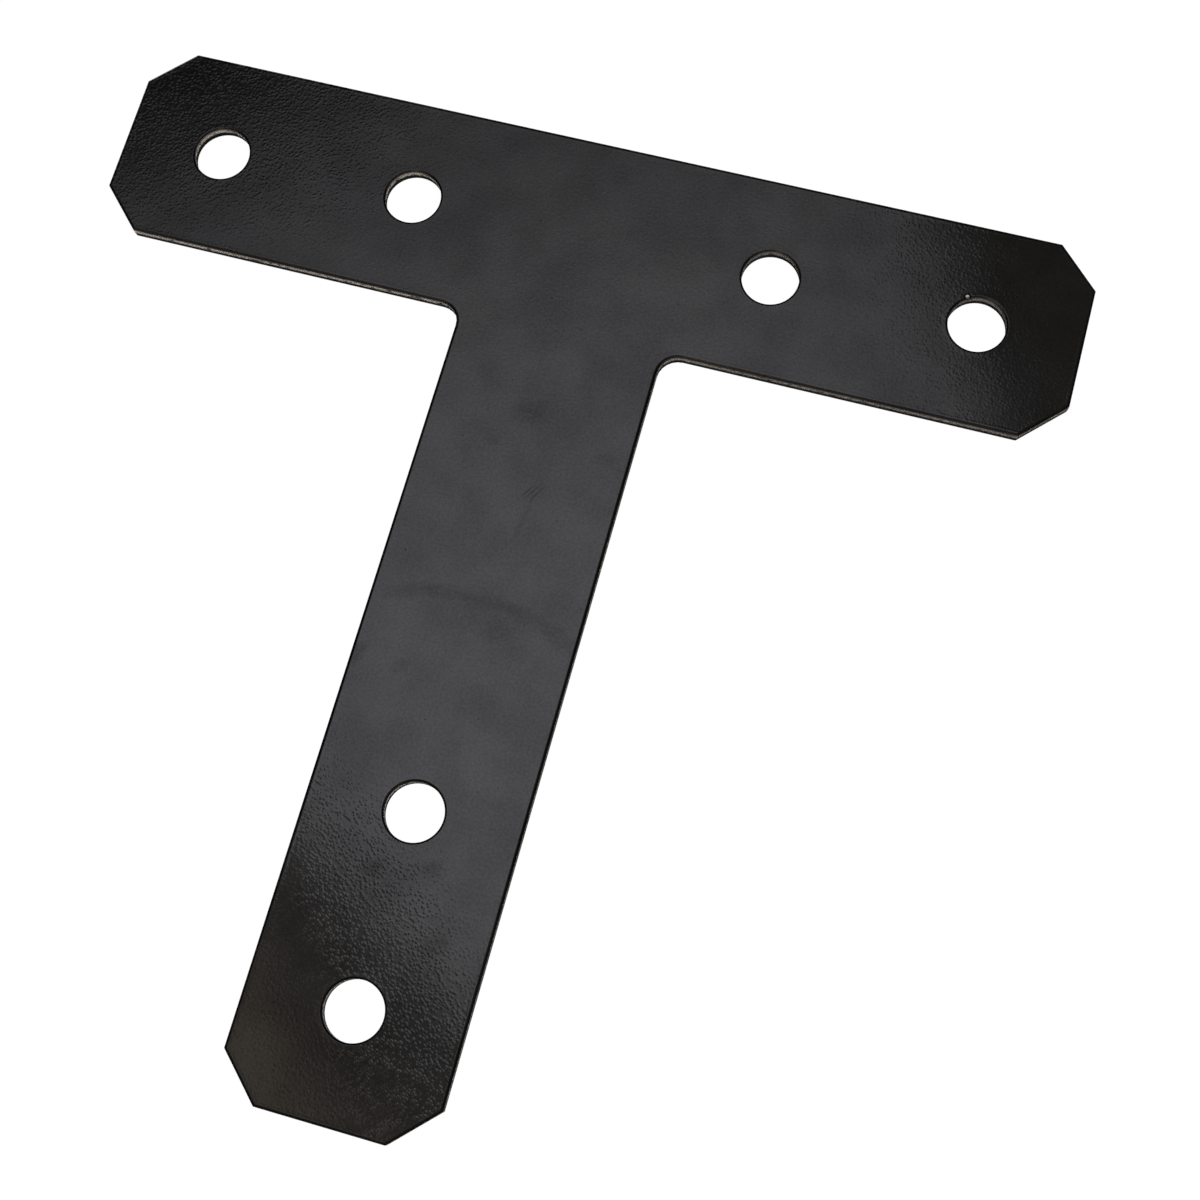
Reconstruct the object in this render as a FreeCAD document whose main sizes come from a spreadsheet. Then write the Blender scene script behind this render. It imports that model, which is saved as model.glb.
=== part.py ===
import FreeCAD, Part
import math
import os

import Sketcher

# T plate for timber joints: one flat piece of heavy sheet steel, punched, cut and powder coated.
# The origin is on the back face, where the centre lines of the crossbar and the stem cross.
# The crossbar runs along X, the stem hangs down towards -Y and the coated front faces +Z.
# All sizes are in millimetres.

NODE = "t_plate"

# Driving sizes, with the reason for each.
SIZES = [
    ("overall_length", 304.8, "crossbar from end to end, 12 in"),
    ("overall_height", 304.8, "top edge of the crossbar to the end of the stem, 12 in"),
    ("strap_width", 63.5, "width of the crossbar and of the stem, 2 1/2 in"),
    ("plate_thickness", 4.75, "7 gauge sheet with its coat on both faces"),
    ("corner_cut", 12.7, "leg of the 45 degree cut on each outer corner, 1/2 in"),
    ("inner_corner_radius", 6.35, "radius where the stem meets the crossbar, 1/4 in"),
    ("bolt_diameter", 15.9, "5/8 in bolt that the holes are punched for"),
    ("bolt_clearance", 1.6, "hole diameter over bolt diameter, 1/16 in"),
    ("end_distance", 31.75, "outermost hole centre to the end of its strap, 1 1/4 in"),
    ("arm_hole_pitch", 63.5, "spacing of the two holes in each arm, 2 1/2 in"),
    ("stem_hole_pitch", 57.15, "spacing of the two holes in the stem, 2 1/4 in"),
    ("front_edge_radius", 0.8, "radius that the punch rolls onto the front edges"),
    ("back_edge_radius", 0.3, "radius that the coat leaves on the back edges"),
]

HOLE_COUNT = 6
POSITION_TOLERANCE = 0.001
VOLUME_SHARE = 0.001

# How a sketch numbers the points of an element, and its own two axes.
POINTS = {"start": 1, "end": 2, "centre": 3}
AXES = {"horizontal": -1, "vertical": -2}


def make_sheet(doc):
    """Spreadsheet of the driving sizes, one row each: what it is, its value and why."""
    sheet = doc.addObject("Spreadsheet::Sheet", "sizes")
    for row, (alias, value, reason) in enumerate(SIZES, start=1):
        sheet.set(f"A{row}", alias.replace("_", " "))
        sheet.set(f"B{row}", str(value))
        sheet.set(f"C{row}", reason)
        sheet.setAlias(f"B{row}", alias)
    doc.recompute()
    return sheet


def origin_plane(body, role):
    """One of the body's own origin planes, such as XY_Plane."""
    for feature in body.Origin.OriginFeatures:
        if feature.Role == role:
            return feature
    raise RuntimeError(f"{body.Label} has no {role}")


def sketch_on_back(body, name):
    """Empty sketch on the plane of the back face, with the crossbar along its X axis."""
    sketch = body.newObject("Sketcher::SketchObject", name)
    sketch.AttachmentSupport = [(origin_plane(body, "XY_Plane"), "")]
    sketch.MapMode = "FlatFace"
    return sketch


def point(element, place):
    """The start, end or centre of a sketch element, as a constraint names it."""
    return element, POINTS[place]


def hold(sketch, *rule):
    """Adds a geometric constraint to a sketch."""
    return sketch.addConstraint(Sketcher.Constraint(*rule))


def drive(sketch, name, expression, *rule):
    """Adds a named dimension to a sketch and ties it to the sheet."""
    sketch.renameConstraint(hold(sketch, *rule), name)
    sketch.setExpression(f"Constraints.{name}", expression)


def outline_corners(sheet):
    """Corners of the square-cornered T, clockwise from the crossbar's top left."""
    end_x = sheet.overall_length / 2
    side = sheet.strap_width / 2
    foot_y = side - sheet.overall_height
    top = [(-end_x, side), (end_x, side)]
    right = [(end_x, -side), (side, -side), (side, foot_y)]
    left = [(-x, y) for x, y in reversed(right)]
    return top + right + left


def draw_outline(body, sheet):
    """Square-cornered T of two straps of one width, symmetric about the stem's centre line."""
    sketch = sketch_on_back(body, "outline")
    corners = [FreeCAD.Vector(x, y, 0) for x, y in outline_corners(sheet)]
    lines = range(len(corners))
    for line in lines:
        following = (line + 1) % len(corners)
        sketch.addGeometry(Part.LineSegment(corners[line], corners[following]), False)
    for line in lines:
        following = (line + 1) % len(corners)
        hold(sketch, "Coincident", *point(line, "end"), *point(following, "start"))
    top, right_end, right_underside, stem_right, stem_foot, stem_left, left_underside, left_end = lines
    for line in (right_underside, left_underside):
        hold(sketch, "Horizontal", line)
    for line in (stem_right, stem_left):
        hold(sketch, "Vertical", line)
    for line in (top, stem_foot):
        hold(sketch, "Symmetric", *point(line, "start"), *point(line, "end"), AXES["vertical"])
    for line in (right_end, left_end):
        hold(sketch, "Symmetric", *point(line, "start"), *point(line, "end"), AXES["horizontal"])
    hold(sketch, "Equal", right_end, stem_foot)
    drive(
        sketch, "length", "sizes.overall_length",
        "DistanceX", *point(top, "start"), *point(top, "end"), sheet.overall_length,
    )
    drive(
        sketch, "width", "sizes.strap_width",
        "DistanceY", *point(right_end, "end"), *point(right_end, "start"), sheet.strap_width,
    )
    drive(
        sketch, "height", "sizes.overall_height",
        "DistanceY", *point(stem_foot, "start"), *point(top, "end"), sheet.overall_height,
    )
    return sketch


def hole_radius(sheet):
    """Radius of every bolt hole."""
    return (sheet.bolt_diameter + sheet.bolt_clearance) / 2


def draw_hole_pair(body, sheet, name, centres, axis):
    """Sketch of two equal bolt circles centred on one of its axes, and the numbers of the circles."""
    sketch = sketch_on_back(body, name)
    circles = []
    for x, y in centres:
        circle = Part.Circle(FreeCAD.Vector(x, y, 0), FreeCAD.Vector(0, 0, 1), hole_radius(sheet))
        circles.append(sketch.addGeometry(circle, False))
        hold(sketch, "PointOnObject", *point(circles[-1], "centre"), AXES[axis])
    hold(sketch, "Equal", *circles)
    drive(
        sketch, "hole_size", "sizes.bolt_diameter + sizes.bolt_clearance",
        "Diameter", circles[0], 2 * hole_radius(sheet),
    )
    return sketch, circles


def draw_arm_holes(body, sheet):
    """The right-hand arm's two bolt holes, on the crossbar's centre line."""
    outer_x = sheet.overall_length / 2 - sheet.end_distance
    inner_x = outer_x - sheet.arm_hole_pitch
    centres = [(outer_x, 0), (inner_x, 0)]
    sketch, circles = draw_hole_pair(body, sheet, "arm_hole_circles", centres, "horizontal")
    outer, inner = [point(circle, "centre") for circle in circles]
    middle = point(AXES["horizontal"], "start")
    drive(
        sketch, "outer_place", "sizes.overall_length / 2 - sizes.end_distance",
        "DistanceX", *middle, *outer, outer_x,
    )
    drive(sketch, "pitch", "sizes.arm_hole_pitch", "DistanceX", *inner, *outer, sheet.arm_hole_pitch)
    return sketch


def draw_stem_holes(body, sheet):
    """The stem's two bolt holes, on its centre line."""
    lower_drop = sheet.overall_height - sheet.strap_width / 2 - sheet.end_distance
    upper_drop = lower_drop - sheet.stem_hole_pitch
    centres = [(0, -lower_drop), (0, -upper_drop)]
    sketch, circles = draw_hole_pair(body, sheet, "stem_hole_circles", centres, "vertical")
    lower, upper = [point(circle, "centre") for circle in circles]
    middle = point(AXES["horizontal"], "start")
    drive(
        sketch, "lower_place", "sizes.overall_height - sizes.strap_width / 2 - sizes.end_distance",
        "DistanceY", *lower, *middle, lower_drop,
    )
    drive(sketch, "pitch", "sizes.stem_hole_pitch", "DistanceY", *lower, *upper, sheet.stem_hole_pitch)
    return sketch


def upright_edges(feature, corners):
    """Names of a feature's upright edges that stand at the given corners of the outline."""
    names = []
    for number, edge in enumerate(feature.Shape.Edges, start=1):
        first, last = edge.Vertexes[0].Point, edge.Vertexes[-1].Point
        if math.hypot(first.x - last.x, first.y - last.y) > POSITION_TOLERANCE:
            continue
        if any(math.hypot(first.x - x, first.y - y) < POSITION_TOLERANCE for x, y in corners):
            names.append(f"Edge{number}")
    if len(names) != len(corners):
        raise RuntimeError(f"{feature.Label}: {len(names)} upright edges found for {len(corners)} corners")
    return names


def level_face(feature, height):
    """Name of the feature's flat face that lies level at the given height."""
    for number, face in enumerate(feature.Shape.Faces, start=1):
        box = face.BoundBox
        if abs(box.ZMin - height) < POSITION_TOLERANCE and abs(box.ZMax - height) < POSITION_TOLERANCE:
            return f"Face{number}"
    raise RuntimeError(f"{feature.Label} has no face at {height} mm")


def add_feature(doc, body, kind, name, **settings):
    """Adds a PartDesign feature to the body, sets it up and computes it."""
    feature = body.newObject(f"PartDesign::{kind}", name)
    for setting, value in settings.items():
        setattr(feature, setting, value)
    body.Tip = feature
    doc.recompute()
    return feature


def dress_edges(doc, body, kind, name, base, edges, setting, alias):
    """Adds a chamfer or fillet to the named edges or faces, with its size tied to the sheet."""
    feature = add_feature(doc, body, kind, name, Base=(base, edges))
    feature.setExpression(setting, f"sizes.{alias}")
    doc.recompute()
    return feature


def punch(doc, body, sketch, name):
    """Punches a sketch's circles right through the plate, from the back face to the front."""
    return add_feature(doc, body, "Pocket", name, Profile=sketch, Type="ThroughAll", Reversed=True)


def make_plate(doc, sheet):
    """The whole plate: blank, cut corners, inner radii, bolt holes, then the soft edges."""
    body = doc.addObject("PartDesign::Body", NODE)
    body.Label = NODE

    blank = add_feature(doc, body, "Pad", "blank", Profile=draw_outline(body, sheet))
    blank.setExpression("Length", "sizes.plate_thickness")
    doc.recompute()

    side = sheet.strap_width / 2
    corners = outline_corners(sheet)
    inner_corners = [(x, y) for x, y in corners if (abs(x), y) == (side, -side)]
    outer_corners = [corner for corner in corners if corner not in inner_corners]
    cuts = dress_edges(
        doc, body, "Chamfer", "corner_cuts", blank, upright_edges(blank, outer_corners), "Size", "corner_cut",
    )
    radii = dress_edges(
        doc, body, "Fillet", "inner_radii", cuts, upright_edges(cuts, inner_corners),
        "Radius", "inner_corner_radius",
    )

    arm_holes = punch(doc, body, draw_arm_holes(body, sheet), "arm_holes")
    mirror_plane = (origin_plane(body, "YZ_Plane"), [""])
    add_feature(doc, body, "Mirrored", "other_arm_holes", Originals=[arm_holes], MirrorPlane=mirror_plane)
    stem_holes = punch(doc, body, draw_stem_holes(body, sheet), "stem_holes")
    check_holes(sheet, radii, stem_holes)

    front_roll = dress_edges(
        doc, body, "Fillet", "front_roll", stem_holes, [level_face(stem_holes, sheet.plate_thickness)],
        "Radius", "front_edge_radius",
    )
    dress_edges(
        doc, body, "Fillet", "back_break", front_roll, [level_face(front_roll, 0)],
        "Radius", "back_edge_radius",
    )
    return body


def check_holes(sheet, before, after):
    """Stops the build unless the punching took out exactly one plug of plate for each hole."""
    expected = HOLE_COUNT * math.pi * hole_radius(sheet) ** 2 * sheet.plate_thickness
    taken = before.Shape.Volume - after.Shape.Volume
    if abs(taken - expected) > VOLUME_SHARE * expected:
        raise RuntimeError(f"the holes took {taken:.1f} mm3, not {expected:.1f}")


def check_document(doc):
    """Stops the build if any object of the document failed."""
    for item in doc.Objects:
        if "Invalid" in item.State or "Error" in item.State:
            raise RuntimeError(f"{item.Label} failed: {item.State}")


def export(body):
    """Writes the finished piece once its shape is known to be one sound solid."""
    shape = body.Shape
    if shape.isNull() or not shape.isValid() or len(shape.Solids) != 1:
        raise RuntimeError(f"{body.Label} is not one sound solid")
    os.makedirs("parts", exist_ok=True)
    shape.exportStep(f"parts/{body.Label}.step")
    box = shape.BoundBox
    extents = " x ".join(f"{extent:.2f}" for extent in (box.XLength, box.YLength, box.ZLength))
    print(f"{body.Label}: {extents} mm, {shape.Volume:.0f} mm3")


def main():
    """Builds the document, checks it and writes its one piece."""
    doc = FreeCAD.newDocument("t_plate_bracket")
    sheet = make_sheet(doc)
    plate = make_plate(doc, sheet)
    check_document(doc)
    export(plate)


main()
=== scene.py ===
"""The look of a flat steel T plate in satin black powder coat, lying on its back on a pale floor.

The plate is one surface: a rim profile carried round the outline and each bolt hole, closed by two flat
faces. Lengths are in metres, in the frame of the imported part: back face at z = 0, crossbar along X, stem
along -Y.
"""

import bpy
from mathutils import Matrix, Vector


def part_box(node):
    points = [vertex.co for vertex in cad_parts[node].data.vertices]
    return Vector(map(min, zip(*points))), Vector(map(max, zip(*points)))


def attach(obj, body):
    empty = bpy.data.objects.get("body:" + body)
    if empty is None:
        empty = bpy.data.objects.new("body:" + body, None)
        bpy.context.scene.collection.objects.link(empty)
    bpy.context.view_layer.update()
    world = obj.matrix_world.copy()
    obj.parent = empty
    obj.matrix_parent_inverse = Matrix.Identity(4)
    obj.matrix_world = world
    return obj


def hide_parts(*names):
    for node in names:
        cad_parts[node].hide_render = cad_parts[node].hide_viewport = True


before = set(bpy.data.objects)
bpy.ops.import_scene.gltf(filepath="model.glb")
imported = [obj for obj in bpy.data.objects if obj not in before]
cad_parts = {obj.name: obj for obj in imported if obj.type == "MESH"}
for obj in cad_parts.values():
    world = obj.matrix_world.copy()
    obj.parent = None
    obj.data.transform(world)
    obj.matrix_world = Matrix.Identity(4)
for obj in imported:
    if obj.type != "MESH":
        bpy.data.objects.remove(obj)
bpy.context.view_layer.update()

import logging
import math
from dataclasses import dataclass
from enum import Enum
from typing import Union

import bpy
import numpy as np
from mathutils import Matrix, Vector
from mathutils.geometry import delaunay_2d_cdt

LOG = logging.getLogger("t_plate")
MM = 0.001
PLATE_NODE = "t_plate"
BODY = "root"

Number = Union[float, "Value"]
Pair = tuple[float, float]
Triple = tuple[float, float, float]
Colour = Union[Triple, bpy.types.NodeSocket]

UP: Triple = (0.0, 0.0, 1.0)
RIGHTWARDS: Triple = (1.0, 0.0, 0.0)
STEMWARDS: Triple = (0.0, -1.0, 0.0)


class Face(Enum):
    """Which flat face of the plate a surface closes."""

    FRONT = 1
    BACK = -1


class Ray(Enum):
    """Kinds of ray that a studio surface can answer in its own way."""

    CAMERA = "Is Camera Ray"
    GLOSSY = "Is Glossy Ray"
    TRANSMISSION = "Is Transmission Ray"


class Value:
    """A number socket. Used in an expression, it adds the Math nodes that the expression needs."""

    def __init__(self, bench: "Bench", socket: bpy.types.NodeSocket) -> None:
        """Wraps one output socket of the bench's tree."""
        self.bench = bench
        self.socket = socket

    def __add__(self, other: Number) -> "Value":
        """This plus other."""
        return self.bench.maths("ADD", self, other)

    def __radd__(self, other: Number) -> "Value":
        """Other plus this."""
        return self.bench.maths("ADD", other, self)

    def __sub__(self, other: Number) -> "Value":
        """This less other."""
        return self.bench.maths("SUBTRACT", self, other)

    def __rsub__(self, other: Number) -> "Value":
        """Other less this."""
        return self.bench.maths("SUBTRACT", other, self)

    def __mul__(self, other: Number) -> "Value":
        """This times other."""
        return self.bench.maths("MULTIPLY", self, other)

    def __rmul__(self, other: Number) -> "Value":
        """Other times this."""
        return self.bench.maths("MULTIPLY", other, self)

    def __pow__(self, other: Number) -> "Value":
        """This to the power of other."""
        return self.bench.maths("POWER", self, other)

    def __abs__(self) -> "Value":
        """This without its sign."""
        return self.bench.maths("ABSOLUTE", self)


class Bench:
    """One node tree, with the one method that adds nodes to it and a few short forms of it."""

    def __init__(self, tree: bpy.types.NodeTree) -> None:
        """Takes a tree and clears it.

        Args:
            tree: the node tree of a material or a world.
        """
        self.tree = tree
        tree.nodes.clear()

    def add(self, kind: str, settings: dict | None = None, inputs: dict | None = None) -> bpy.types.Node:
        """Adds a node.

        Args:
            kind: the node's type, such as ShaderNodeTexNoise.
            settings: its properties by name.
            inputs: values, sockets or Values by socket name or number.

        Returns:
            The new node.
        """
        node = self.tree.nodes.new(kind)
        for name, setting in (settings or {}).items():
            setattr(node, name, setting)
        for name, given in (inputs or {}).items():
            target = node.inputs[name]
            if isinstance(given, Value):
                self.tree.links.new(given.socket, target)
            elif isinstance(given, bpy.types.NodeSocket):
                self.tree.links.new(given, target)
            else:
                target.default_value = given
        return node

    def maths(self, operation: str, *terms: Number) -> Value:
        """Adds a Math node for the terms and returns its result."""
        node = self.add("ShaderNodeMath", {"operation": operation}, dict(enumerate(terms)))
        return Value(self, node.outputs[0])

    def smooth(self, value: Value, low: float, high: float) -> Value:
        """A step from 0 at low to 1 at high with a soft start and end; low may be above high."""
        inputs = {"Value": value, "From Min": low, "From Max": high}
        node = self.add("ShaderNodeMapRange", {"interpolation_type": "SMOOTHSTEP"}, inputs)
        return Value(self, node.outputs["Result"])

    def place(self) -> bpy.types.NodeSocket:
        """The point on the object, in the object's own coordinates."""
        return self.add("ShaderNodeTexCoord").outputs["Object"]

    def along(self, point: bpy.types.NodeSocket, direction: Triple, origin: Triple = (0, 0, 0)) -> Value:
        """How far a point lies from origin along a direction.

        Args:
            point: the point's socket.
            direction: a unit vector.
            origin: where the measure starts.

        Returns:
            The dot product of the point, taken from origin, with the direction.
        """
        start = -sum(d * o for d, o in zip(direction, origin))
        node = self.add("ShaderNodeVectorMath", {"operation": "DOT_PRODUCT"}, {0: point, 1: direction})
        return Value(self, node.outputs["Value"]) + start

    def distance(self, point: bpy.types.NodeSocket, centre: Triple) -> Value:
        """How far a point lies from a centre."""
        node = self.add("ShaderNodeVectorMath", {"operation": "DISTANCE"}, {0: point, 1: centre})
        return Value(self, node.outputs["Value"])

    def noise(
        self, point: bpy.types.NodeSocket, size: float, detail: float = 2.0, shift: float = 0.0,
    ) -> Value:
        """Soft noise from 0 to 1 whose lumps are about one size across.

        Args:
            point: the point's socket.
            size: the width of a lump, in metres.
            detail: how many finer layers are added.
            shift: moves the pattern, so that two of them differ.

        Returns:
            The noise.
        """
        offset = (shift, -shift, 2 * shift)
        moved = self.add("ShaderNodeVectorMath", {"operation": "ADD"}, {0: point, 1: offset})
        inputs = {"Vector": moved.outputs["Vector"], "Scale": 1.0 / size, "Detail": detail}
        return Value(self, self.add("ShaderNodeTexNoise", {}, inputs).outputs[0])

    def cells(self, point: bpy.types.NodeSocket, size: float) -> Value:
        """How far a point lies from the middle of its cell, in cells."""
        node = self.add("ShaderNodeTexVoronoi", {"feature": "F1"}, {"Vector": point, "Scale": 1.0 / size})
        return Value(self, node.outputs["Distance"])

    def colour(self, share: Number, first: Colour, second: Colour) -> bpy.types.NodeSocket:
        """A mix of two colours: the first where share is 0, the second where it is 1."""
        first, second = ((*c, 1.0) if isinstance(c, tuple) else c for c in (first, second))
        return self.add("ShaderNodeMix", {"data_type": "RGBA"}, {0: share, 6: first, 7: second}).outputs[2]

    def fade(self, shader: bpy.types.Node, share: Value) -> None:
        """Ends a material with a shader that is there by a share, and clear for the rest."""
        clear = self.add("ShaderNodeBsdfTransparent")
        mixed = self.add("ShaderNodeMixShader", {}, {0: share, 1: clear.outputs[0], 2: shader.outputs[0]})
        self.add("ShaderNodeOutputMaterial", {}, {"Surface": mixed.outputs[0]})

    def ray(self, kind: Ray) -> Value:
        """1 for rays of one kind, and 0 for others."""
        return Value(self, self.add("ShaderNodeLightPath").outputs[kind.value])


@dataclass(frozen=True)
class Smudge:
    """A soft patch or rub that takes some of the gloss: centre, half sizes, turn, and the share it takes."""

    x: float
    y: float
    half_length: float
    half_width: float
    turn: float
    share: float
    falling_off: Pair = (1.0, 0.25)

    def mask(self, bench: Bench, point: bpy.types.NodeSocket, ragged: Value) -> Value:
        """The share taken at each point.

        The point is moved, turned and divided by the half sizes, so the patch's edge lies at length 1. The
        ragged noise is added to that length.

        Args:
            bench: the material's bench.
            point: the point's socket.
            ragged: noise about 0.

        Returns:
            The share, falling off softly towards the patch's edge.
        """
        placed = bench.add("ShaderNodeMapping", {"vector_type": "TEXTURE"}, {
            "Vector": point,
            "Location": (self.x, self.y, 0.0),
            "Rotation": (0.0, 0.0, self.turn),
            "Scale": (self.half_length, self.half_width, 1.0),
        })
        away = bench.distance(placed.outputs["Vector"], (0, 0, 0)) + ragged
        return self.share * bench.smooth(away, *self.falling_off)


@dataclass(frozen=True)
class Chip:
    """A tiny chip at a hole's rim that shows bare steel, with a dull ring round it."""

    x: float = 115.9 * MM
    y: float = 8.1 * MM
    z: float = 4.6 * MM
    radius: float = 0.68 * MM
    ring: float = 1.30 * MM
    ring_share: float = 0.75
    steel: Triple = (0.62, 0.58, 0.49)
    roughness: float = 0.36
    full_within: float = 0.6
    ring_full_within: float = 0.7

    def mask(self, bench: Bench, point: bpy.types.NodeSocket) -> Value:
        """1 on the bare steel."""
        away = bench.distance(point, (self.x, self.y, self.z))
        return bench.smooth(away, self.radius, self.full_within * self.radius)

    def dull_ring(self, bench: Bench, point: bpy.types.NodeSocket) -> Value:
        """The share of the gloss that the ring takes."""
        away = bench.distance(point, (self.x, self.y, self.z))
        return self.ring_share * bench.smooth(away, self.ring, self.ring_full_within * self.ring)


@dataclass(frozen=True)
class OrangePeel:
    """The fine grain of the coat: small round domes over a slower swell.

    It is strongest at the left arm's end, weak on the right arm and the stem, and comes back at the foot in
    a slanting band that fades towards the foot's left side. Pairs of numbers say where a change starts and
    where it is complete.
    """

    dome_size: float = 1.00 * MM
    dome_height: float = 0.023 * MM
    dome_slope: Pair = (0.65, 0.15)
    swell_size: float = 1.8 * MM
    swell_height: float = 0.006 * MM
    patch_size: float = 4.0 * MM
    patch_least: float = 0.55
    patch_edge: Pair = (0.40, 0.60)
    stem_strength: float = 0.38
    crossbar_gain: float = 0.12
    crossbar_edge: Pair = (50 * MM, 20 * MM)
    left_gain: float = 0.96
    left_edge: Pair = (-45 * MM, -100 * MM)
    left_lower_edge: Pair = (40 * MM, -4 * MM)
    right_loss: float = 0.20
    right_edge: Pair = (112 * MM, 130 * MM)
    foot_gain: float = 0.72
    foot_edge: Pair = (160 * MM, 205 * MM)
    band_across: Triple = (-0.906, -0.423, 0.0)
    band_start: Triple = (-31 * MM, -185 * MM, 0.0)
    band_right_edge: Pair = (-45 * MM, -15 * MM)
    band_left_edge: Pair = (9 * MM, -4 * MM)

    def strength(self, bench: Bench, point: bpy.types.NodeSocket) -> Value:
        """How strong the peel is, as a share of its full height.

        Args:
            bench: the material's bench.
            point: the point's socket.

        Returns:
            The share, a little above 1 where the peel is strongest.
        """
        across = bench.along(point, RIGHTWARDS)
        down = bench.along(point, STEMWARDS)
        crossbar = bench.smooth(down, *self.crossbar_edge)
        left_end = bench.smooth(across, *self.left_edge) * bench.smooth(down, *self.left_lower_edge)
        right_end = bench.smooth(across, *self.right_edge)
        foot = bench.smooth(down, *self.foot_edge)
        off_band = bench.along(point, self.band_across, self.band_start)
        band = bench.smooth(off_band, *self.band_right_edge) * bench.smooth(off_band, *self.band_left_edge)
        arms = self.crossbar_gain * crossbar + self.left_gain * left_end - self.right_loss * right_end
        return self.stem_strength + arms + self.foot_gain * foot * band

    def normal(self, bench: Bench, point: bpy.types.NodeSocket) -> bpy.types.NodeSocket:
        """The normal of the peel, from its height in metres: a dome in each cell, plus the swell.

        Args:
            bench: the material's bench.
            point: the point's socket.

        Returns:
            The normal.
        """
        patch = bench.smooth(bench.noise(point, self.patch_size, 0.0, 0.37), *self.patch_edge)
        patchy = self.patch_least + (1.0 - self.patch_least) * patch
        rise = bench.smooth(bench.cells(point, self.dome_size), *self.dome_slope)
        domes = self.dome_height * (self.strength(bench, point) * patchy) * rise
        swell = self.swell_height * bench.noise(point, self.swell_size, 0.0, 0.57)
        inputs = {"Strength": 1.0, "Distance": 1.0, "Height": domes + swell}
        return bench.add("ShaderNodeBump", {}, inputs).outputs["Normal"]


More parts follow.
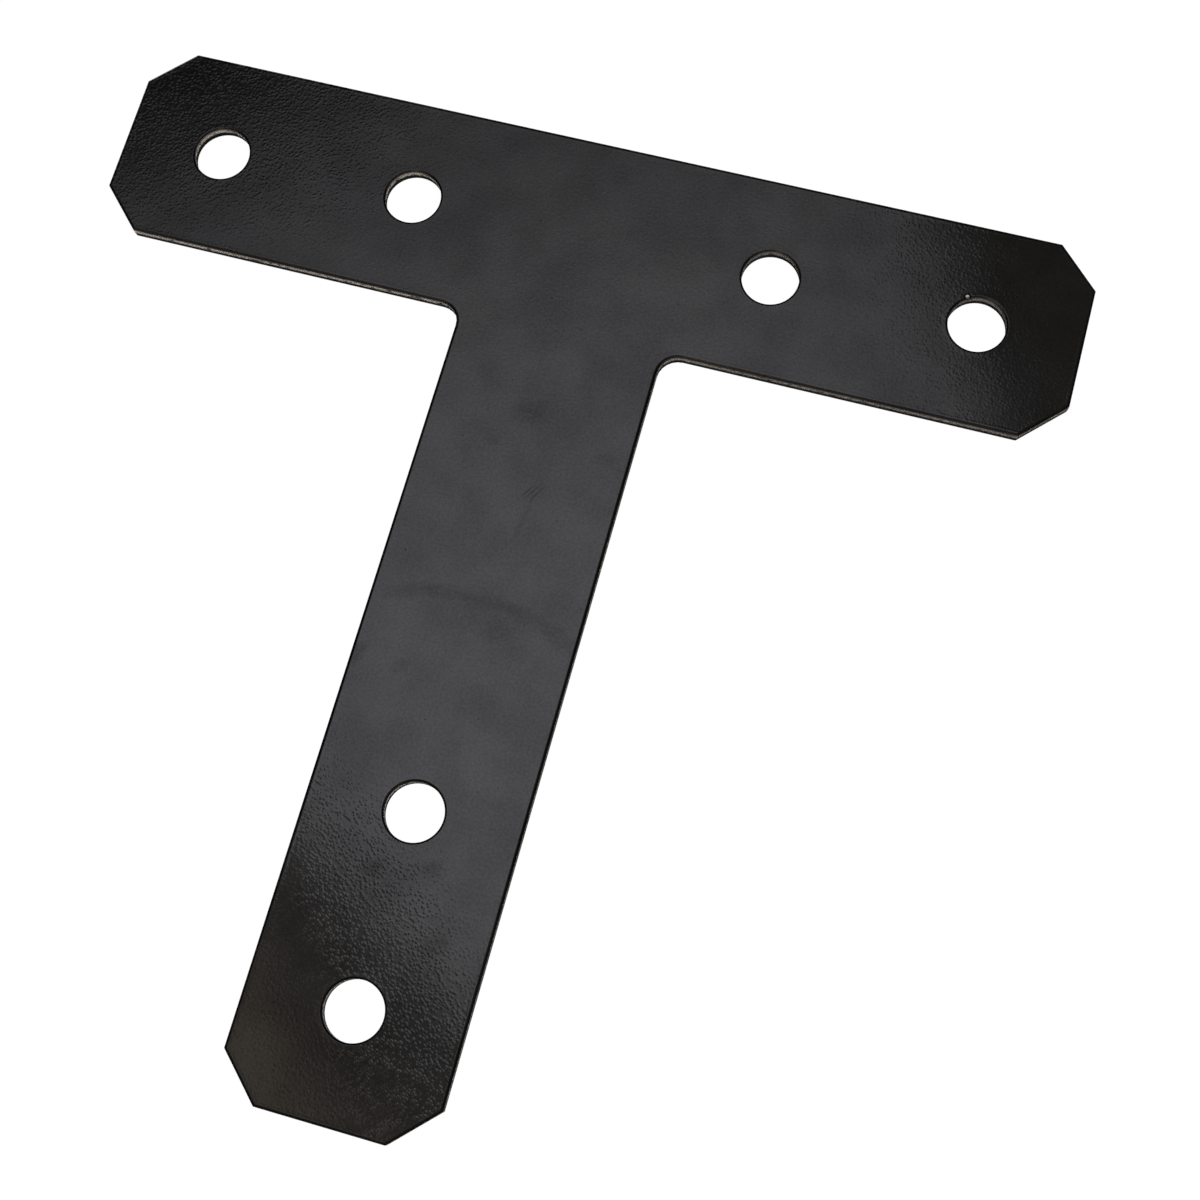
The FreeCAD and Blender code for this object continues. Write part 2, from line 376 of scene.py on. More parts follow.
@dataclass(frozen=True)
class PowderCoat:
    """Satin black powder coat: near-black, with orange peel, a cloudy gloss, smudges, rubs and one chip, and
    a painted reflection of a warm floor as a tan band up the walls.

    The metallic share is used for one thing beside the chip: on a near-black coat, raising it only takes
    gloss. Pairs of numbers say where a change starts and where it is complete.
    """

    thickness: float
    name: str = "black_powder_coat"
    base: Triple = (0.0020, 0.0020, 0.0021)
    dusty: Triple = (0.0040, 0.0037, 0.0034)
    dust_size: float = 30 * MM
    dust_edge: Pair = (0.35, 0.75)
    # Painted reflection: the tan of a warm floor as the walls would mirror it, laid into the colour as a band
    # up the walls.
    reflected_floor_tan: Triple = (0.345, 0.300, 0.248)
    reflection_band: Pair = (0.50, 0.78)
    reflection_blur: float = 0.08
    reflection_loss: float = 0.55
    reflection_loss_edge: Pair = (-20 * MM, 60 * MM)
    reflection_patch_size: float = 1.6 * MM
    reflection_patch_edge: Pair = (0.22, 0.55)
    index: float = 1.5
    roughness: float = 0.11
    roughness_swing: float = 0.05
    roughness_size: float = 22 * MM
    fracture_roughness: float = 0.32
    fracture_share: float = 0.50
    fracture_blur: float = 0.08
    wall_edge: Pair = (0.5, 0.1)
    cloudiness: float = 0.17
    cloud_size: float = 16 * MM
    cloud_edge: Pair = (0.32, 0.70)
    mottle: float = 0.20
    mottle_size: float = 0.8 * MM
    mottle_edge: Pair = (0.25, 0.75)
    speck: float = 0.35
    speck_spacing: float = 4.5 * MM
    speck_edge: Pair = (0.080, 0.045)
    speck_patch_size: float = 9 * MM
    speck_patch_edge: Pair = (0.48, 0.54)
    raggedness: float = 0.9
    ragged_size: float = 5.0 * MM
    smudges: tuple[Smudge, ...] = ()
    chip: Chip = Chip()
    peel: OrangePeel = OrangePeel()

    def material(self) -> bpy.types.Material:
        """Builds the finish.

        Returns:
            The material, with its pattern in object coordinates.
        """
        made = bpy.data.materials.new(self.name)
        made.use_nodes = True
        bench = Bench(made.node_tree)
        point = bench.place()
        upright = self.upright(bench)
        rise = bench.along(point, UP) * (1.0 / self.thickness)
        low = bench.smooth(rise, *self.fracture_line())
        bare = self.chip.mask(bench, point)
        dull = self.dullness(bench, point) + self.chip.dull_ring(bench, point)
        # Painted reflection: a tan band up the walls stands in for the warm floor mirrored in them.
        painted_reflection = upright * self.painted_reflection(bench, point, rise)
        painted = bench.colour(painted_reflection, self.clouded(bench, point), self.reflected_floor_tan)
        steel_roughness = bare * (self.chip.roughness - self.roughness)
        shader = bench.add("ShaderNodeBsdfPrincipled", {}, {
            "Base Color": bench.colour(bare, painted, self.chip.steel),
            "Roughness": self.gloss(bench, point, upright * low) + steel_roughness,
            "Metallic": bench.maths("MAXIMUM", bare, dull),
            "Normal": self.peel.normal(bench, point),
            "IOR": self.index,
        })
        bench.add("ShaderNodeOutputMaterial", {}, {"Surface": shader.outputs[0]})
        return made

    def fracture_line(self) -> Pair:
        """Where up the wall the sheared part starts to give way to the broken part, and where it has."""
        return self.fracture_share + self.fracture_blur, self.fracture_share - self.fracture_blur

    def painted_reflection(self, bench: Bench, point: bpy.types.NodeSocket, rise: Value) -> Value:
        """Where up the wall the painted reflection of a warm floor lies: a tan band with soft, uneven edges,
        weaker on the right.

        Args:
            bench: the material's bench.
            point: the point's socket.
            rise: the height up the wall, as a share of it.

        Returns:
            How strong the painted reflection is, from 0 to 1.
        """
        low, high = self.reflection_band
        blur = self.reflection_blur
        band = bench.smooth(rise, low - blur, low + blur) * bench.smooth(rise, high + blur, high - blur)
        on_right = bench.smooth(bench.along(point, RIGHTWARDS), *self.reflection_loss_edge)
        patch = bench.smooth(bench.noise(point, self.reflection_patch_size, 1.0, 0.11), *self.reflection_patch_edge)
        return band * (1.0 - self.reflection_loss * on_right) * patch

    def upright(self, bench: Bench) -> Value:
        """1 on the walls, and 0 on the faces."""
        normal = bench.add("ShaderNodeNewGeometry").outputs["True Normal"]
        return bench.smooth(abs(bench.along(normal, UP)), *self.wall_edge)

    def clouded(self, bench: Bench, point: bpy.types.NodeSocket) -> bpy.types.NodeSocket:
        """Near-black with a faint cloudiness of dust."""
        cloud = bench.smooth(bench.noise(point, self.dust_size, 1.0, 0.31), *self.dust_edge)
        return bench.colour(cloud, self.base, self.dusty)

    def gloss(self, bench: Bench, point: bpy.types.NodeSocket, broken: Value) -> Value:
        """Roughness: an even satin, a little cloudy, and coarse where the steel broke away."""
        cloud = self.roughness_swing * (bench.noise(point, self.roughness_size, 1.0, 0.7) - 0.5)
        return self.roughness + cloud + (self.fracture_roughness - self.roughness) * broken

    def dullness(self, bench: Bench, point: bpy.types.NodeSocket) -> Value:
        """The share of the gloss that clouds, fine mottling, specks, smudges and rubs take.

        Args:
            bench: the material's bench.
            point: the point's socket.

        Returns:
            The sum of their shares.
        """
        cloud = bench.smooth(bench.noise(point, self.cloud_size, 4.0, 0.19), *self.cloud_edge)
        fine = bench.smooth(bench.noise(point, self.mottle_size, 1.0, 0.43), *self.mottle_edge)
        dot = bench.smooth(bench.cells(point, self.speck_spacing), *self.speck_edge)
        dotted = bench.smooth(bench.noise(point, self.speck_patch_size, 0.0, 0.83), *self.speck_patch_edge)
        even = self.cloudiness * cloud + self.mottle * fine + self.speck * dot * dotted
        ragged = self.raggedness * (bench.noise(point, self.ragged_size, 2.0, 0.23) - 0.5)
        return sum((mark.mask(bench, point, ragged) for mark in self.smudges), even)


@dataclass(frozen=True)
class RimProfile:
    """The section of a rim, carried round the outline or a hole.

    From the front face outwards: a faint bead where the coat gathers, the roll that the punch leaves (a
    round, a short slope and a tight round), the smooth upper wall, the lower wall where the steel broke away,
    which runs back a little, and the small edge break of the back.
    """

    thickness: float
    reach: float = 3.4 * MM
    bead_height: float = 0.012 * MM
    bead_width: float = 0.45 * MM
    upper_round: float = 0.90 * MM
    slope: float = math.radians(30.0)
    slope_length: float = 0.60 * MM
    lower_round: float = 0.04 * MM
    fracture_share: float = 0.50
    set_back: float = 0.12 * MM
    back_break: float = 0.35 * MM
    face_crowding: float = 1.6
    face_steps: int = 12
    round_steps: int = 7
    wall_steps: int = 4

    def roll(self) -> np.ndarray:
        """The roll as rows of inset and height: arc of the upper round, slope, arc of the lower round."""
        turn = self.slope
        flat = self.upper_round * math.sin(turn) + self.slope_length * math.cos(turn)
        width = flat + self.lower_round * (1 - math.sin(turn))
        drop = self.upper_round * (1 - math.cos(turn)) + self.slope_length * math.sin(turn)
        depth = drop + self.lower_round * math.cos(turn)
        upper = np.linspace(0.0, turn, self.round_steps)
        lower = np.linspace(turn, math.pi / 2, self.round_steps)
        over = self.upper_round * np.stack([-np.sin(upper), np.cos(upper) - 1], 1) + np.array([width, 0.0])
        under = self.lower_round * np.stack([1 - np.sin(lower), np.cos(lower)], 1) - np.array([0.0, depth])
        return np.concatenate([over, under]) + np.array([0.0, self.thickness])

    def section(self) -> np.ndarray:
        """The section as points of inset from the edge and height.

        The face stands lower than the roll's start by the bead's height, and rises to it along a bell curve.
        Its points crowd towards the roll by a power of their even spacing.

        Returns:
            An array of rows (inset, height), from the front face to the back face.
        """
        roll = self.roll()
        start = roll[0, 0]
        even = np.linspace(1.0, 0.0, self.face_steps, endpoint=False)
        inset = start + (self.reach - start) * even ** self.face_crowding
        fall = 1 - np.exp(-((inset - start) / self.bead_width) ** 2)
        face = np.stack([inset, self.thickness - self.bead_height * fall], 1)
        low = self.thickness * self.fracture_share
        upper = np.linspace(roll[-1, 1], low, self.wall_steps)[1:]
        smooth_wall = np.stack([np.zeros_like(upper), upper], 1)
        share = np.linspace(0.0, 1.0, self.wall_steps + 1)[1:]
        rough_wall = np.stack([self.set_back * share, low + (self.back_break - low) * share], 1)
        turn = np.linspace(0.0, math.pi / 2, self.round_steps)[1:]
        back = self.back_break * np.stack([1 - np.cos(turn), 1 - np.sin(turn)], 1)
        back = back + np.array([self.set_back, 0.0])
        inner = np.array([[self.reach, 0.0]])
        return np.concatenate([face, roll, smooth_wall, rough_wall, back, inner])


@dataclass(frozen=True)
class TeeOutline:
    """The plate's outline: two straps of one width with every outer corner cut at 45 degrees."""

    length: float
    height: float
    strap: float = 63.5 * MM
    cut: float = 12.7 * MM
    inner_radius: float = 6.35 * MM
    corner_softness: float = 0.5 * MM
    step: float = 2.5 * MM
    corner_steps: int = 7

    def corners(self) -> np.ndarray:
        """The sharp corners, anticlockwise from the stem's lower left cut."""
        far, half, cut = self.length / 2, self.strap / 2, self.cut
        foot = half - self.height
        right = [
            (half - cut, foot), (half, foot + cut), (half, -half), (far - cut, -half),
            (far, cut - half), (far, half - cut), (far - cut, half),
        ]
        left = [(-x, y) for x, y in reversed(right)]
        return np.array(right + left)

    def loops(self, insets: np.ndarray) -> np.ndarray:
        """The outline drawn in by each inset, with the same number of points each time.

        A corner of the drawn-in outline is the old corner moved by the inset along the sum of the two inward
        normals over one plus their product. Outer corners keep one small radius. The two inner corners are
        arcs about one centre, so their radius grows with the inset. Points run evenly round each arc and
        along each side.

        Args:
            insets: distances inwards from the edge.

        Returns:
            An array of insets by points by (x, y).
        """
        corner = self.corners()
        forward = np.roll(corner, -1, 0) - corner
        length = np.linalg.norm(forward, axis=1)
        forward = forward / length[:, None]
        normal_after = np.stack([-forward[:, 1], forward[:, 0]], 1)
        normal_before = np.roll(normal_after, 1, 0)
        together = 1 + (normal_after * normal_before).sum(1)
        mitre = (normal_after + normal_before) / together[:, None]
        turn = np.cross(np.roll(forward, 1, 0), forward)
        side = np.sign(turn)
        depth = insets[:, None]
        radius = np.where(side > 0, self.corner_softness, self.inner_radius + depth)
        centre = corner + depth[..., None] * mitre + (side * radius)[..., None] * mitre
        angle = np.arctan2(turn, (np.roll(forward, 1, 0) * forward).sum(1))
        share = np.linspace(0.0, 1.0, self.corner_steps)
        swing = angle[:, None] * share
        first = normal_before[:, None]
        turned = np.stack([
            first[..., 0] * np.cos(swing) - first[..., 1] * np.sin(swing),
            first[..., 0] * np.sin(swing) + first[..., 1] * np.cos(swing),
        ], -1)
        arcs = centre[:, :, None] - (side * radius)[..., None, None] * turned
        start = arcs[:, :, -1]
        end = np.roll(arcs[:, :, 0], -1, 1)
        pieces = []
        for k, run in enumerate(length):
            parts = max(2, round(run / self.step))
            between = np.arange(1, parts) / parts
            straight = start[:, k, None] + (end[:, k] - start[:, k])[:, None] * between[:, None]
            pieces += [arcs[:, k], straight]
        return np.concatenate(pieces, 1)

    def inside(self, x: np.ndarray, y: np.ndarray, inset: float) -> np.ndarray:
        """True where a point lies inside the outline drawn in by inset."""
        far, half = self.length / 2 - inset, self.strap / 2 - inset
        foot = self.strap / 2 - self.height + inset
        cut_inset = self.cut + math.sqrt(2) * inset
        bar_cut = self.length / 2 + self.strap / 2 - cut_inset
        bar = (abs(x) < far) & (abs(y) < half) & (abs(x) + abs(y) < bar_cut)
        foot_cut = self.height - cut_inset
        stem = (abs(x) < half) & (y < 0) & (y > foot) & (abs(x) - y < foot_cut)
        reach = self.strap / 2 + self.inner_radius
        square = (abs(x) < reach) & (y < 0) & (y > -reach)
        arc = square & (np.hypot(abs(x) - reach, y + reach) > self.inner_radius + inset)
        return bar | stem | arc


@dataclass(frozen=True)
class BoltHole:
    """One punched bolt hole."""

    x: float
    y: float
    radius: float
    steps: int = 96

    def loops(self, insets: np.ndarray) -> np.ndarray:
        """The hole's edge moved into the plate by each inset, clockwise: circles about one centre."""
        turn = -2 * math.pi * np.arange(self.steps) / self.steps
        ring = np.stack([np.cos(turn), np.sin(turn)], 1)
        return np.array([self.x, self.y]) + (self.radius + insets)[:, None, None] * ring


SMUDGES = (
    Smudge(-1.6 * MM, -60.5 * MM, 8.0 * MM, 6.5 * MM, 0.3, 0.15),
    Smudge(-10.4 * MM, -71.4 * MM, 4.0 * MM, 2.6 * MM, 0.1, 0.10),
    Smudge(24.4 * MM, -69.1 * MM, 5.5 * MM, 3.6 * MM, 0.4, 0.10),
    Smudge(4.4 * MM, -84.2 * MM, 5.6 * MM, 0.50 * MM, math.radians(56), 0.30),
    Smudge(5.8 * MM, -84.2 * MM, 5.0 * MM, 0.42 * MM, math.radians(58), 0.30),
    Smudge(7.3 * MM, -84.6 * MM, 4.6 * MM, 0.45 * MM, math.radians(61), 0.24),
    Smudge(5.8 * MM, -92.7 * MM, 9.0 * MM, 1.5 * MM, math.radians(82), 0.13),
    Smudge(-21.0 * MM, -122.4 * MM, 13.0 * MM, 3.4 * MM, math.radians(17), 0.14),
    Smudge(-10.5 * MM, -119.9 * MM, 11.0 * MM, 3.2 * MM, math.radians(4), 0.14),
    Smudge(4.0 * MM, -119.7 * MM, 13.0 * MM, 3.2 * MM, 0.0, 0.12),
    Smudge(17.0 * MM, -121.6 * MM, 13.0 * MM, 3.6 * MM, math.radians(-11), 0.12),
    Smudge(27.5 * MM, -126.0 * MM, 10.0 * MM, 4.0 * MM, math.radians(-30), 0.12),
    Smudge(9.0 * MM, -126.5 * MM, 9.0 * MM, 6.0 * MM, 0.2, 0.08),
    Smudge(-6.3 * MM, -201.9 * MM, 5.0 * MM, 3.6 * MM, 0.5, 0.18),
    Smudge(9.3 * MM, -198.5 * MM, 4.2 * MM, 3.2 * MM, 1.1, 0.16),
    Smudge(16.4 * MM, -218.7 * MM, 6.0 * MM, 4.5 * MM, 0.2, 0.20),
    Smudge(-16.4 * MM, -144.4 * MM, 4.5 * MM, 3.0 * MM, 0.7, 0.12),
    Smudge(-30.0 * MM, -144.5 * MM, 5.5 * MM, 3.4 * MM, 1.4, 0.20),
)


@dataclass
class CoatedPlate:
    """The plate: one punched blank under its coat."""

    length: float
    height: float
    thickness: float
    bolt_hole: float = 17.5 * MM
    outer_hole: float = 120.65 * MM
    inner_hole: float = 57.15 * MM
    stem_hole: float = 184.15 * MM
    foot_hole: float = 241.3 * MM
    grid: float = 4.0 * MM
    grid_margin: float = 0.4
    sliver: float = 1e-10
    weld: float = 1e-6
    smudges: tuple[Smudge, ...] = SMUDGES

    def holes(self) -> list[BoltHole]:
        """The six bolt holes: two in each arm and two in the stem."""
        radius = self.bolt_hole / 2
        across = (-self.outer_hole, -self.inner_hole, self.inner_hole, self.outer_hole)
        arms = [BoltHole(x, 0.0, radius) for x in across]
        stem = [BoltHole(0.0, -y, radius) for y in (self.stem_hole, self.foot_hole)]
        return arms + stem

    def outline(self) -> TeeOutline:
        """The plate's outline."""
        return TeeOutline(self.length, self.height)

    def edge(self) -> RimProfile:
        """The rim round the outline."""
        return RimProfile(self.thickness)

    def bore(self) -> RimProfile:
        """The rim round a hole, which the punch leaves sharper."""
        return RimProfile(self.thickness, reach=2.6 * MM, bead_width=0.80 * MM,
                          upper_round=0.35 * MM, slope_length=0.56 * MM)

    def on_face(self, places: np.ndarray, margin: float) -> np.ndarray:
        """True for places on the flat part of a face, at least a margin from the rims."""
        x, y = places.T
        keep = self.outline().inside(x, y, self.edge().reach + margin)
        for hole in self.holes():
            keep &= np.hypot(x - hole.x, y - hole.y) > hole.radius + self.bore().reach + margin
        return keep

    def grid_points(self) -> np.ndarray:
        """Evenly spaced points of the face, clear of the rims."""
        across = np.arange(-self.length / 2, self.length / 2, self.grid)
        down = np.arange(-self.height, self.length / 2, self.grid)
        places = np.stack(np.meshgrid(across, down), -1).reshape(-1, 2)
        return places[self.on_face(places, self.grid_margin * self.grid)]

    def build(self) -> bpy.types.Object:
        """Builds the plate as one closed surface.

        The rim's section is carried round the outline and round each hole. Each flat face is the area
        between the section's innermost loops, filled with near-even triangles.

        Returns:
            The plate's object.
        """
        points, faces, fronts, backs = [], [], [], []
        count = 0
        rims = [(self.outline(), self.edge())] + [(hole, self.bore()) for hole in self.holes()]
        for path, profile in rims:
            section = profile.section()
            rim = path.loops(section[:, 0])
            rows, columns = rim.shape[:2]
            height = np.broadcast_to(section[:, 1, None], (rows, columns))
            points.append(np.concatenate([rim, height[..., None]], -1).reshape(-1, 3))
            index = count + np.arange(rows * columns).reshape(rows, columns)
            ahead = np.roll(index, -1, 1)
            faces.append(np.stack([index[:-1], index[1:], ahead[1:], ahead[:-1]], -1).reshape(-1, 4))
            fronts.append(index[0])
            backs.append(index[-1])
            count += rows * columns
        loose = self.grid_points()
        level = self.thickness - self.edge().bead_height
        for face, loops, height in ((Face.FRONT, fronts, level), (Face.BACK, backs, 0.0)):
            points.append(np.column_stack([loose, np.full(len(loose), height)]))
            index = count + np.arange(len(loose))
            count += len(loose)
            faces.append(self.fill(np.concatenate(points), loops, index, face))
        return self.plate_object(np.concatenate(points), faces)

    def fill(self, points: np.ndarray, loops: list[np.ndarray], loose: np.ndarray, face: Face) -> np.ndarray:
        """Triangles of one flat face: the area inside the first loop and outside the others.

        Args:
            points: all points so far.
            loops: the numbers of the points of each rim's innermost loop, the outline's first.
            loose: the numbers of the points inside the face.
            face: the face that is closed.

        Returns:
            Rows of three point numbers, facing outwards.
        """
        numbers = np.concatenate([*loops, loose])
        flat = points[numbers, :2]
        starts = np.cumsum([0] + [len(loop) for loop in loops])
        rings = [start + np.arange(len(loop)) for start, loop in zip(starts, loops)]
        pairs = np.concatenate([np.stack([ring, np.roll(ring, -1)], 1) for ring in rings]).tolist()
        where = [Vector(row) for row in (flat / MM).tolist()]
        _, _, cells, origins, _, _ = delaunay_2d_cdt(where, pairs, [], 0, self.weld, True)
        cells = np.array([origin[0] for origin in origins])[np.array(cells)]
        a, b, c = (flat[cells[:, k]] for k in range(3))
        area = np.cross(b - a, c - a) / 2
        keep = self.on_face((a + b + c) / 3, 0.0) & (abs(area) > self.sliver)
        cells, turned = cells[keep], area[keep] * face.value < 0
        cells[turned] = cells[turned][:, ::-1]
        return numbers[cells]

    def plate_object(self, points: np.ndarray, faces: list[np.ndarray]) -> bpy.types.Object:
        """Puts the points and faces into a mesh with its material, attaches it to the body and hides the part
        that it takes the place of.
        """
        mesh = bpy.data.meshes.new("coated_plate")
        mesh.from_pydata(points.tolist(), [], [cell for group in faces for cell in group.tolist()])
        mesh.polygons.foreach_set("use_smooth", np.ones(len(mesh.polygons), bool))
        mesh.update()
        mesh.materials.append(PowderCoat(self.thickness, smudges=self.smudges).material())
        plate = bpy.data.objects.new("coated_plate", mesh)
        bpy.context.scene.collection.objects.link(plate)
        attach(plate, BODY)
        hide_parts(PLATE_NODE)
        return plate


def stage_sheet(name: str, corners: np.ndarray, material: bpy.types.Material) -> bpy.types.Object:
    """Makes a flat four-sided sheet that belongs to the studio.

    Args:
        name: the sheet's name.
        corners: four corners, in order round it.
        material: its finish.

    Returns:
        The sheet's object.
    """
    mesh = bpy.data.meshes.new(name)
    mesh.from_pydata(corners.tolist(), [], [(0, 1, 2, 3)])
    mesh.materials.append(material)
    sheet = bpy.data.objects.new(name, mesh)
    bpy.context.scene.collection.objects.link(sheet)
    return sheet


@dataclass(frozen=True)
class Floor:
    """The pale floor: white to the camera and in reflections, but darker in them close to the plate."""

    side: float = 8.0
    drop: float = 0.02 * MM
    white: float = 0.90
    shown_share: float = 0.95
    shade_reach: float = 3.0 * MM
    shade_power: float = 12.0
    shade_samples: int = 8

    def build(self) -> bpy.types.Object:
        """Builds the floor.

        Returns:
            The floor's object.
        """
        made = bpy.data.materials.new("studio_floor")
        made.use_nodes = True
        bench = Bench(made.node_tree)
        paint = bench.add("ShaderNodeBsdfDiffuse", {}, {"Color": (self.white,) * 3 + (1.0,)})
        settings = {"samples": self.shade_samples}
        near = bench.add("ShaderNodeAmbientOcclusion", settings, {"Distance": self.shade_reach})
        open_share = Value(bench, near.outputs["AO"]) ** self.shade_power
        camera = bench.ray(Ray.CAMERA)
        lit = open_share + camera * (1.0 - open_share)
        glow = bench.add("ShaderNodeEmission", {}, {"Color": (1, 1, 1, 1), "Strength": lit})
        seen = camera + bench.ray(Ray.GLOSSY) + bench.ray(Ray.TRANSMISSION)
        mixed = bench.add("ShaderNodeMixShader", {}, {
            0: seen * self.shown_share, 1: paint.outputs[0], 2: glow.outputs[0],
        })
        bench.add("ShaderNodeOutputMaterial", {}, {"Surface": mixed.outputs[0]})
        half = self.side / 2
        corners = np.array([(-half, -half), (half, -half), (half, half), (-half, half)])
        corners = np.column_stack([corners, np.full(4, -self.drop)])
        return stage_sheet("studio_floor", corners, made)


@dataclass(frozen=True)
class Softbox:
    """The broad light above the plate, turned against the crossbar, brightest near its lower left."""

    height: float = 1.0
    turn: float = math.radians(-50.0)
    left: float = -0.259
    left_slant: float = 0.29
    right: float = 0.347
    right_slant: float = -0.21
    lower: float = 0.36
    lower_edge: float = 0.2
    upper: float = -0.720
    edge: float = 0.024
    upper_edge: float = 0.085
    sheet_left: float = -0.5
    sheet_right: float = 0.60
    colour: Triple = (0.97, 0.97, 1.03)
    brightest: float = 1.98
    dimming: float = 0.98
    near: float = 0.0
    far: float = 0.68
    tail: float = 0.22
    tail_edge: Pair = (-0.36, -0.60)
    hot_spot: Pair = (-0.10, -0.10)

    def directions(self) -> tuple[Triple, Triple]:
        """The unit vectors along the light and across it, both level."""
        c, s = math.cos(self.turn), math.sin(self.turn)
        return (c, s, 0.0), (-s, c, 0.0)

    def corners(self, left: float, right: float, upper: float, lower: float) -> np.ndarray:
        """The corners of a level sheet in the light's own directions, facing down."""
        down, across = (np.array(v) for v in self.directions())
        level = np.array([0.0, 0.0, self.height])
        places = [(left, upper), (left, lower), (right, lower), (right, upper)]
        return np.array([u * across + w * down + level for u, w in places])

    def build(self) -> bpy.types.Object:
        """Builds the light as a glowing sheet with soft edges.

        Returns:
            The sheet's object, which the camera doesn't see.
        """
        made = bpy.data.materials.new("softbox")
        made.use_nodes = True
        bench = Bench(made.node_tree)
        point = bench.place()
        down, across = self.directions()
        u, w = bench.along(point, across), bench.along(point, down)
        hot = tuple(self.hot_spot[0] * a + self.hot_spot[1] * d for a, d in zip(across, down))
        away = bench.distance(point, (hot[0], hot[1], self.height))
        level = self.brightest - self.dimming * bench.smooth(away, self.near, self.far)
        level = level * (1.0 - self.tail * bench.smooth(w, *self.tail_edge))
        left_edge = bench.smooth(u - self.left_slant * w, self.left - self.edge, self.left + self.edge)
        right_edge = bench.smooth(u - self.right_slant * w, self.right + self.edge, self.right - self.edge)
        upper_edge = bench.smooth(w, self.upper - self.upper_edge, self.upper + self.upper_edge)
        lower_edge = bench.smooth(w, self.lower, self.lower - self.lower_edge)
        glow = bench.add("ShaderNodeEmission", {}, {"Color": (*self.colour, 1.0), "Strength": level})
        bench.fade(glow, left_edge * right_edge * upper_edge * lower_edge)
        top = self.upper - self.upper_edge
        corners = self.corners(self.sheet_left, self.sheet_right, top, self.lower)
        sheet = stage_sheet("softbox", corners, made)
        sheet.visible_camera = False
        return sheet


@dataclass(frozen=True)
class WarmCard:
    """A dim warm surface beyond the softbox's left side, which shows in the foot of the stem."""

    below_light: float = 0.01
    start: float = -0.33
    full: float = -0.39
    end: float = -0.66
    upper: float = -0.16
    lower: float = 0.55
    colour: Triple = (0.92, 0.77, 0.62)

    def build(self, light: Softbox) -> bpy.types.Object:
        """Builds the card beside a light.

        Args:
            light: the softbox that it stands beside.

        Returns:
            The card's object, which the camera doesn't see.
        """
        made = bpy.data.materials.new("warm_card")
        made.use_nodes = True
        bench = Bench(made.node_tree)
        point = bench.place()
        _, across = light.directions()
        strength = bench.smooth(bench.along(point, across), self.start, self.full)
        glow = bench.add("ShaderNodeEmission", {}, {"Color": (*self.colour, 1.0), "Strength": 1.0})
        bench.fade(glow, strength)
        corners = light.corners(self.end, self.start, self.upper, self.lower)
        corners[:, 2] -= self.below_light
        sheet = stage_sheet("warm_card", corners, made)
        sheet.visible_camera = False
        return sheet


@dataclass(frozen=True)
class Room:
    """What surrounds the plate: white behind it to the camera, and a dim ceiling over dark walls.

    A low window on the near side shows in the plate's face when it is seen from behind.
    """

    right: Triple = (0.158, 0.145, 0.122)
    left: Triple = (0.300, 0.282, 0.260)
    far_side: Triple = (0.060, 0.060, 0.060)
    dark: Triple = (0.004, 0.004, 0.004)
    low_window: Triple = (0.32, 0.32, 0.33)
    wall_top: float = 0.74
    wall_dark: float = 0.62
    window_top: float = 0.46
    window_full: float = 0.34
    right_way: Triple = (0.766, 0.643, 0.0)
    right_edge: Pair = (0.0, 0.35)
    down_way: Triple = (0.643, -0.766, 0.0)
    beyond_edge: Pair = (-0.42, -0.55)
    window_way: Triple = (0.500, -0.866, 0.0)
    window_edge: Pair = (0.10, 0.50)

    def build(self) -> bpy.types.World:
        """Builds the world.

        Returns:
            The world, set as the scene's.
        """
        world = bpy.data.worlds.new("studio_room")
        world.use_nodes = True
        bench = Bench(world.node_tree)
        direction = bench.add("ShaderNodeTexCoord").outputs["Generated"]
        rise = bench.along(direction, UP)
        wall = bench.smooth(rise, self.wall_top, self.wall_dark)
        side = bench.smooth(bench.along(direction, self.right_way), *self.right_edge)
        beyond = bench.smooth(bench.along(direction, self.down_way), *self.beyond_edge)
        overhead = bench.colour(beyond, bench.colour(side, self.left, self.right), self.far_side)
        near_side = bench.smooth(bench.along(direction, self.window_way), *self.window_edge)
        window = near_side * bench.smooth(rise, self.window_top, self.window_full)
        surroundings = bench.colour(wall, overhead, bench.colour(window, self.dark, self.low_window))
        colour = bench.colour(bench.ray(Ray.CAMERA), surroundings, (1.0, 1.0, 1.0))
        back = bench.add("ShaderNodeBackground", {}, {"Color": colour, "Strength": 1.0})
        bench.add("ShaderNodeOutputWorld", {}, {"Surface": back.outputs[0]})
        bpy.context.scene.world = world
        return world


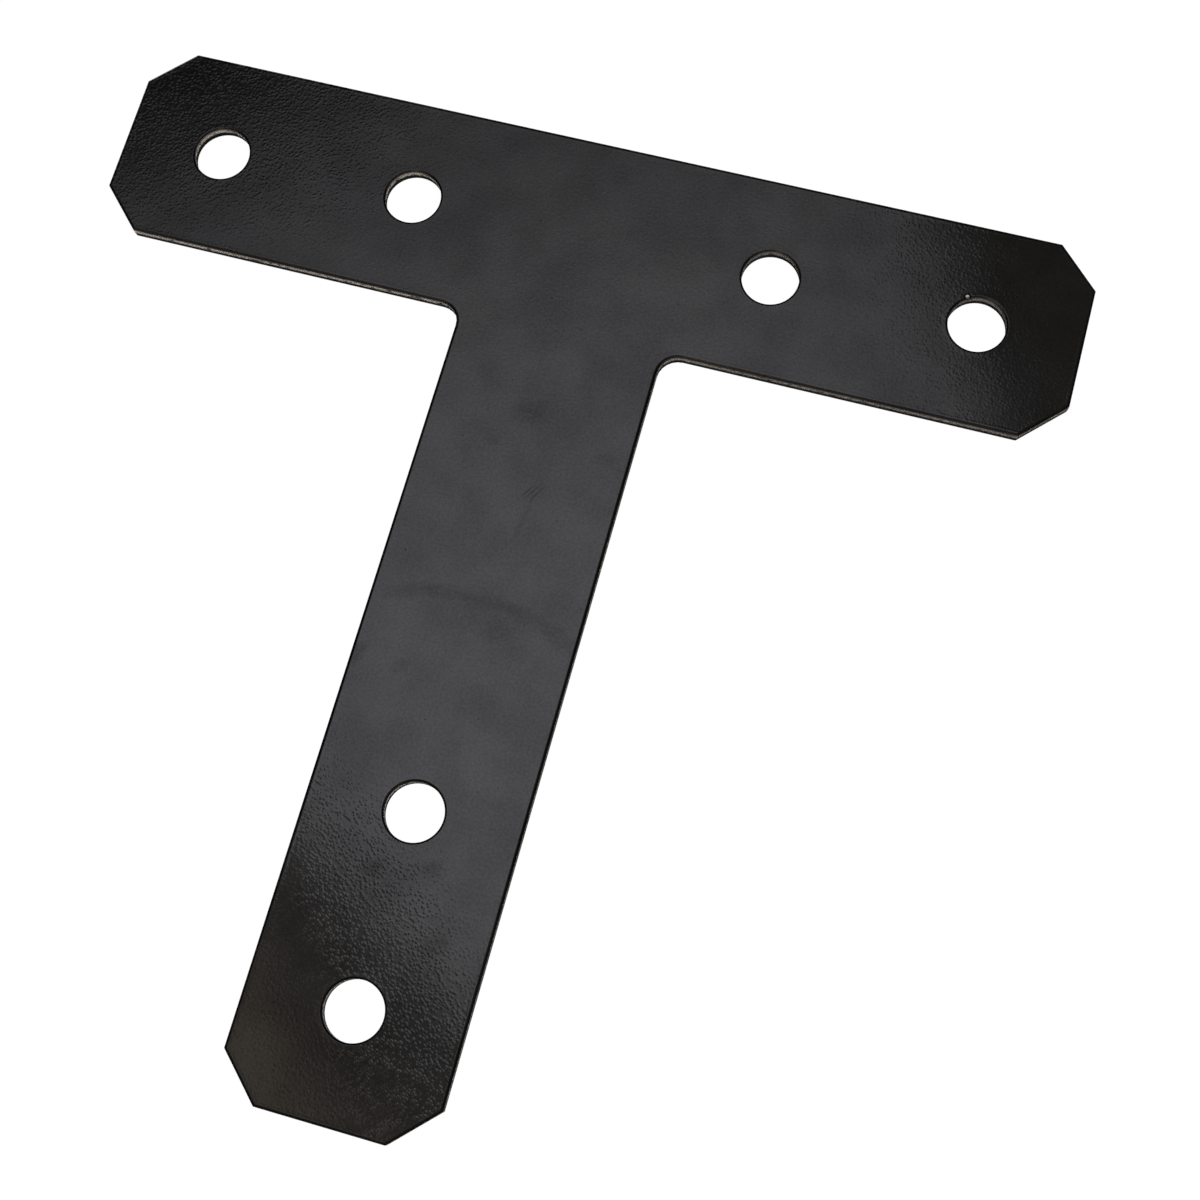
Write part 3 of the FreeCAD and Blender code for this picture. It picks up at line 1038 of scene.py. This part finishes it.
@dataclass(frozen=True)
class FillLamp:
    """A broad lamp that lifts the plain level of light and shows in no reflection."""

    size: float = 1.6
    height: float = 1.5
    power: float = 96.0
    place: Pair = (0.0, -0.1)

    def build(self) -> bpy.types.Object:
        """Hangs the lamp over the plate, facing down."""
        data = bpy.data.lights.new("fill_lamp", "AREA")
        data.shape = "SQUARE"
        data.size = self.size
        data.energy = self.power
        lamp = bpy.data.objects.new("fill_lamp", data)
        lamp.location = (*self.place, self.height)
        lamp.visible_glossy = False
        lamp.visible_camera = False
        bpy.context.scene.collection.objects.link(lamp)
        return lamp


@dataclass(frozen=True)
class Viewpoint:
    """The camera: it looks down on the face from in front and to the right, turned about its own axis."""

    aim: Triple = (34.33 * MM, -110.89 * MM, 4.75 * MM)
    distance: float = 541.6 * MM
    azimuth: float = math.radians(27.952)
    elevation: float = math.radians(73.931)
    roll: float = math.radians(-12.855)
    lens: float = 55.98
    sensor: float = 36.0
    nearest: float = 0.01
    farthest: float = 50.0

    def build(self) -> bpy.types.Object:
        """Places the camera.

        Returns:
            The camera's object, set as the scene's.
        """
        flat = math.cos(self.elevation)
        c, s = math.cos(self.azimuth), math.sin(self.azimuth)
        back = Vector((s * flat, -c * flat, math.sin(self.elevation)))
        right = Vector((c, s, 0.0))
        up = back.cross(right)
        turned = Matrix.Rotation(self.roll, 3, back)
        axes = Matrix((turned @ right, turned @ up, back)).transposed()
        data = bpy.data.cameras.new("viewpoint")
        data.lens = self.lens
        data.sensor_width = self.sensor
        data.clip_start = self.nearest
        data.clip_end = self.farthest
        camera = bpy.data.objects.new("viewpoint", data)
        camera.matrix_world = Matrix.Translation(Vector(self.aim) + back * self.distance) @ axes.to_4x4()
        bpy.context.scene.collection.objects.link(camera)
        bpy.context.scene.camera = camera
        return camera


def main() -> None:
    """Builds the studio and the plate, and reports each."""
    logging.basicConfig(level=logging.INFO, format="%(name)s: %(message)s")
    scene = bpy.context.scene
    scene.view_settings.view_transform = "Standard"
    low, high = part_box(PLATE_NODE)
    size = Vector(high) - Vector(low)
    softbox = Softbox()
    card = WarmCard()
    built = [Viewpoint().build(), Floor().build(), softbox.build(), card.build(softbox), FillLamp().build()]
    Room().build()
    plate = CoatedPlate(size.x, size.y, size.z).build()
    for piece in (*built, plate):
        LOG.info("built %s", piece.name)
    LOG.info("plate has %d faces", len(plate.data.polygons))


if __name__ == "__main__":
    main()
